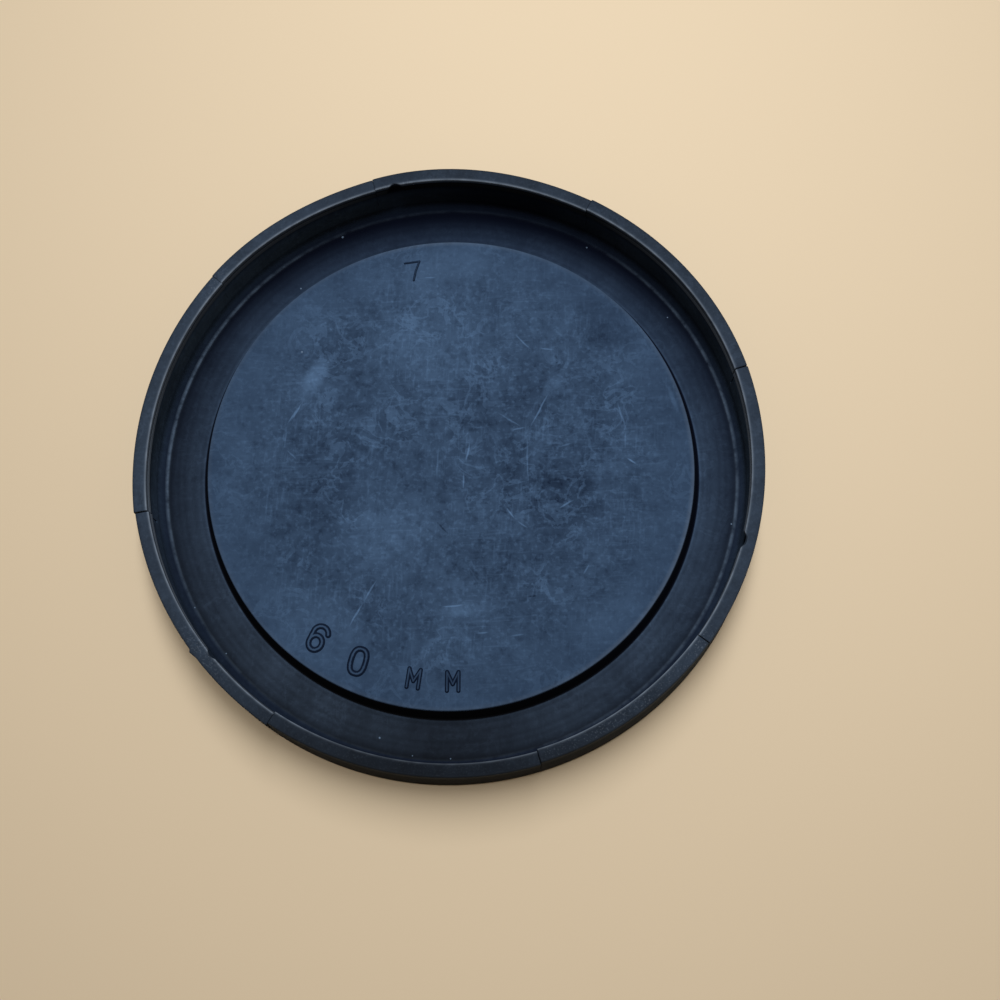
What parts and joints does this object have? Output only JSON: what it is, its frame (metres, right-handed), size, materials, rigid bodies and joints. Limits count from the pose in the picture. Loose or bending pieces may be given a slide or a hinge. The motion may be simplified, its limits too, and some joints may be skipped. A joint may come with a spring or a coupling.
{
  "type": "slip-on camera lens cap",
  "caption": "Round slip-on cap that covers the front of a lens, moulded in black rubber, with a slit springy rim, an inner gripping bead and a raised centre panel.",
  "frame": {"origin": "centre of the closed face, on the plane the cap lies on", "axes": "+Z along the lens axis, out of the cap's mouth; +X to the right and +Y away from the viewer in the picture"},
  "size_m": [0.0636, 0.0636, 0.0078],
  "materials": {
    "black_rubber": "matte moulded rubber with a pale bloom"
  },
  "bodies": {
    "root": {"lens_cap": "black_rubber"}
  },
  "joints": []
}
